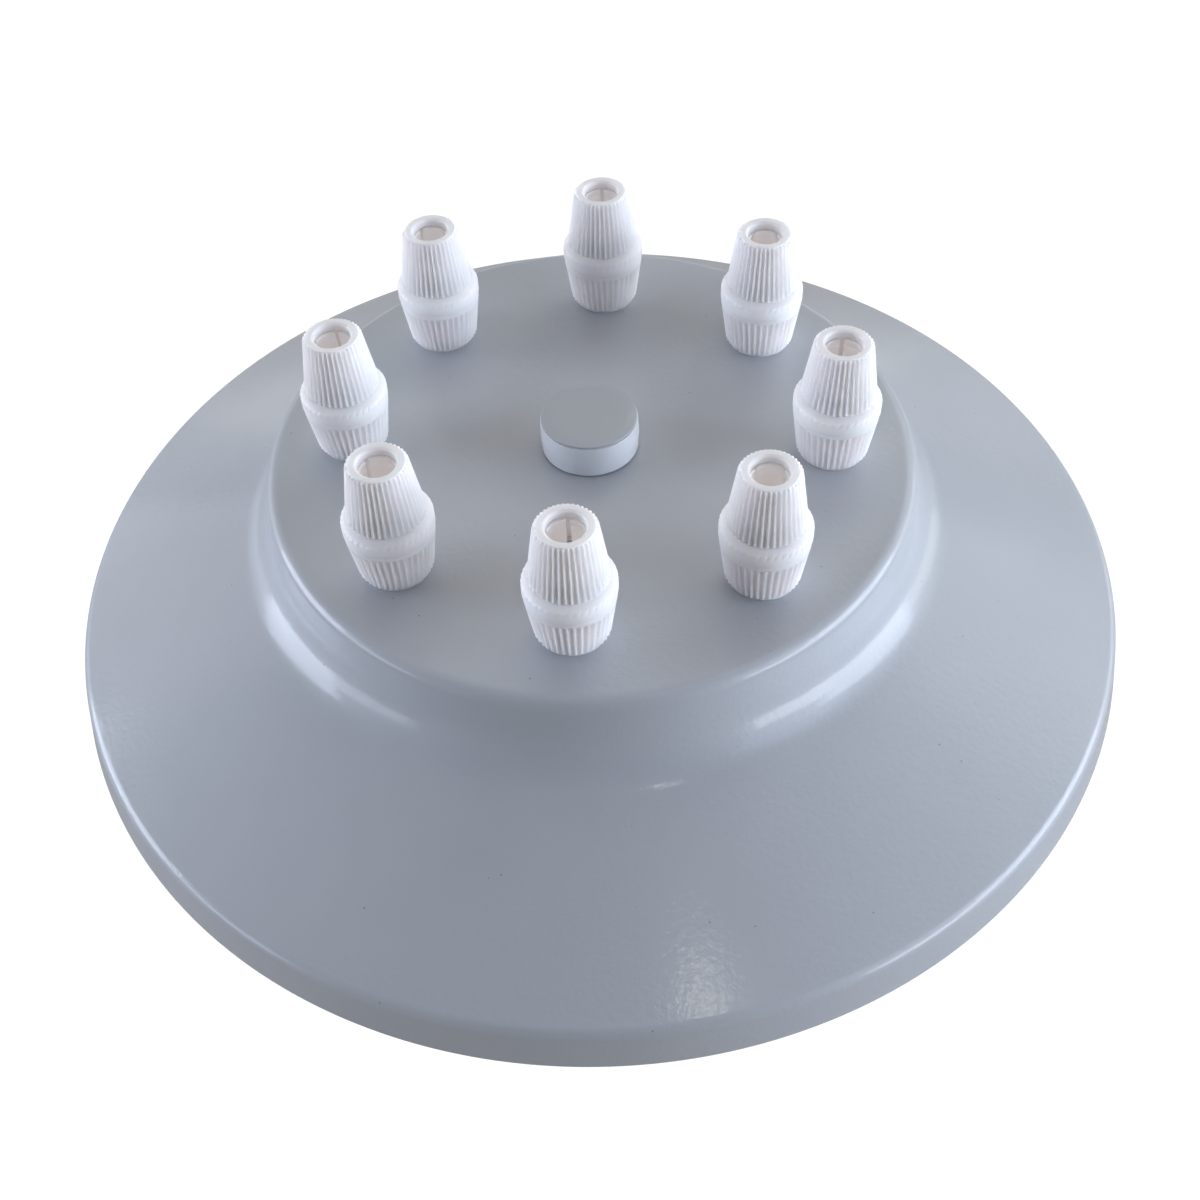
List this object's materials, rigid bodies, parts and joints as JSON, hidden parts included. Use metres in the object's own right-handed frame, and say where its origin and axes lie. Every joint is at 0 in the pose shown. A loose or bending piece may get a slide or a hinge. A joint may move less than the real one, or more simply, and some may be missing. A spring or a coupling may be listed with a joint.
{
  "type": "multi-outlet ceiling rose",
  "caption": "Round white steel ceiling rose with a ring of ribbed screw cord grips for pendant cables, a centre screw cap, and a bracket and terminal block inside.",
  "frame": {"origin": "centre of the rim, in the plane of the ceiling", "axes": "+Z out of the ceiling through the centre cap, X along the bracket, one cord grip on -Y"},
  "size_m": [0.2, 0.2, 0.062],
  "materials": {
    "white_coat": "gloss powder coat",
    "grip_plastic": "satin moulded plastic",
    "nut_plastic": "satin moulded plastic",
    "washer_plastic": "matt",
    "zinc_steel": "bright zinc plate",
    "screw_steel": "bright",
    "brass": "bright",
    "block_plastic": "moulded plastic"
  },
  "bodies": {
    "rose": {"rose_plate": "white_coat", "threaded_tube": "zinc_steel", "tube_nut_upper": "zinc_steel", "tube_nut_lower": "zinc_steel", "ceiling_bracket": "zinc_steel", "earth_washer": "brass", "earth_screw": "brass", "terminal_block": "block_plastic", "terminal_screws": "screw_steel", "block_screw": "screw_steel", "terminal_sleeve_1": "brass", "terminal_sleeve_2": "brass", "terminal_sleeve_3": "brass", "grip_body_1": "grip_plastic", "lock_nut_1": "nut_plastic", "grip_body_2": "grip_plastic", "lock_nut_2": "nut_plastic", "grip_body_3": "grip_plastic", "lock_nut_3": "nut_plastic", "grip_body_4": "grip_plastic", "lock_nut_4": "nut_plastic", "grip_body_5": "grip_plastic", "lock_nut_5": "nut_plastic", "grip_body_6": "grip_plastic", "lock_nut_6": "nut_plastic", "grip_body_7": "grip_plastic", "lock_nut_7": "nut_plastic", "grip_body_8": "grip_plastic", "lock_nut_8": "nut_plastic"},
    "jaws_1": {"grip_jaws_1": "grip_plastic"},
    "cap_1": {"grip_cap_1": "grip_plastic"},
    "jaws_2": {"grip_jaws_2": "grip_plastic"},
    "cap_2": {"grip_cap_2": "grip_plastic"},
    "jaws_3": {"grip_jaws_3": "grip_plastic"},
    "cap_3": {"grip_cap_3": "grip_plastic"},
    "jaws_4": {"grip_jaws_4": "grip_plastic"},
    "cap_4": {"grip_cap_4": "grip_plastic"},
    "jaws_5": {"grip_jaws_5": "grip_plastic"},
    "cap_5": {"grip_cap_5": "grip_plastic"},
    "jaws_6": {"grip_jaws_6": "grip_plastic"},
    "cap_6": {"grip_cap_6": "grip_plastic"},
    "jaws_7": {"grip_jaws_7": "grip_plastic"},
    "cap_7": {"grip_cap_7": "grip_plastic"},
    "jaws_8": {"grip_jaws_8": "grip_plastic"},
    "cap_8": {"grip_cap_8": "grip_plastic"},
    "washer": {"cap_washer": "washer_plastic"},
    "middle_cap": {"centre_cap": "white_coat"}
  },
  "joints": [
    {"name": "jaws_1_rise", "type": "slide", "parent": "rose", "child": "jaws_1", "axis": [0, 0, 1], "range_m": [0, 0.0045]},
    {"name": "cap_1_turn", "type": "hinge", "parent": "jaws_1", "child": "cap_1", "pos_m": [0, -0.0431, 0.05], "axis": [0, 0, 1], "range_deg": [0, 1080]},
    {"name": "jaws_2_rise", "type": "slide", "parent": "rose", "child": "jaws_2", "axis": [0, 0, 1], "range_m": [0, 0.0045]},
    {"name": "cap_2_turn", "type": "hinge", "parent": "jaws_2", "child": "cap_2", "pos_m": [0.03048, -0.03048, 0.05], "axis": [0, 0, 1], "range_deg": [0, 1080]},
    {"name": "jaws_3_rise", "type": "slide", "parent": "rose", "child": "jaws_3", "axis": [0, 0, 1], "range_m": [0, 0.0045]},
    {"name": "cap_3_turn", "type": "hinge", "parent": "jaws_3", "child": "cap_3", "pos_m": [0.0431, 0, 0.05], "axis": [0, 0, 1], "range_deg": [0, 1080]},
    {"name": "jaws_4_rise", "type": "slide", "parent": "rose", "child": "jaws_4", "axis": [0, 0, 1], "range_m": [0, 0.0045]},
    {"name": "cap_4_turn", "type": "hinge", "parent": "jaws_4", "child": "cap_4", "pos_m": [0.03048, 0.03048, 0.05], "axis": [0, 0, 1], "range_deg": [0, 1080]},
    {"name": "jaws_5_rise", "type": "slide", "parent": "rose", "child": "jaws_5", "axis": [0, 0, 1], "range_m": [0, 0.0045]},
    {"name": "cap_5_turn", "type": "hinge", "parent": "jaws_5", "child": "cap_5", "pos_m": [0, 0.0431, 0.05], "axis": [0, 0, 1], "range_deg": [0, 1080]},
    {"name": "jaws_6_rise", "type": "slide", "parent": "rose", "child": "jaws_6", "axis": [0, 0, 1], "range_m": [0, 0.0045]},
    {"name": "cap_6_turn", "type": "hinge", "parent": "jaws_6", "child": "cap_6", "pos_m": [-0.03048, 0.03048, 0.05], "axis": [0, 0, 1], "range_deg": [0, 1080]},
    {"name": "jaws_7_rise", "type": "slide", "parent": "rose", "child": "jaws_7", "axis": [0, 0, 1], "range_m": [0, 0.0045]},
    {"name": "cap_7_turn", "type": "hinge", "parent": "jaws_7", "child": "cap_7", "pos_m": [-0.0431, 0, 0.05], "axis": [0, 0, 1], "range_deg": [0, 1080]},
    {"name": "jaws_8_rise", "type": "slide", "parent": "rose", "child": "jaws_8", "axis": [0, 0, 1], "range_m": [0, 0.0045]},
    {"name": "cap_8_turn", "type": "hinge", "parent": "jaws_8", "child": "cap_8", "pos_m": [-0.03048, -0.03048, 0.05], "axis": [0, 0, 1], "range_deg": [0, 1080]},
    {"name": "washer_rise", "type": "slide", "parent": "rose", "child": "washer", "axis": [0, 0, 1], "range_m": [0, 0.004]},
    {"name": "middle_cap_turn", "type": "hinge", "parent": "washer", "child": "middle_cap", "pos_m": [0, 0, 0.04], "axis": [0, 0, 1], "range_deg": [0, 1440]}
  ],
  "couplings": [
    {"joint": "cap_1_turn", "follows": "jaws_1_rise", "rad_per_m": 4188.8},
    {"joint": "cap_2_turn", "follows": "jaws_2_rise", "rad_per_m": 4188.8},
    {"joint": "cap_3_turn", "follows": "jaws_3_rise", "rad_per_m": 4188.8},
    {"joint": "cap_4_turn", "follows": "jaws_4_rise", "rad_per_m": 4188.8},
    {"joint": "cap_5_turn", "follows": "jaws_5_rise", "rad_per_m": 4188.8},
    {"joint": "cap_6_turn", "follows": "jaws_6_rise", "rad_per_m": 4188.8},
    {"joint": "cap_7_turn", "follows": "jaws_7_rise", "rad_per_m": 4188.8},
    {"joint": "cap_8_turn", "follows": "jaws_8_rise", "rad_per_m": 4188.8},
    {"joint": "middle_cap_turn", "follows": "washer_rise", "rad_per_m": 6283.2}
  ]
}
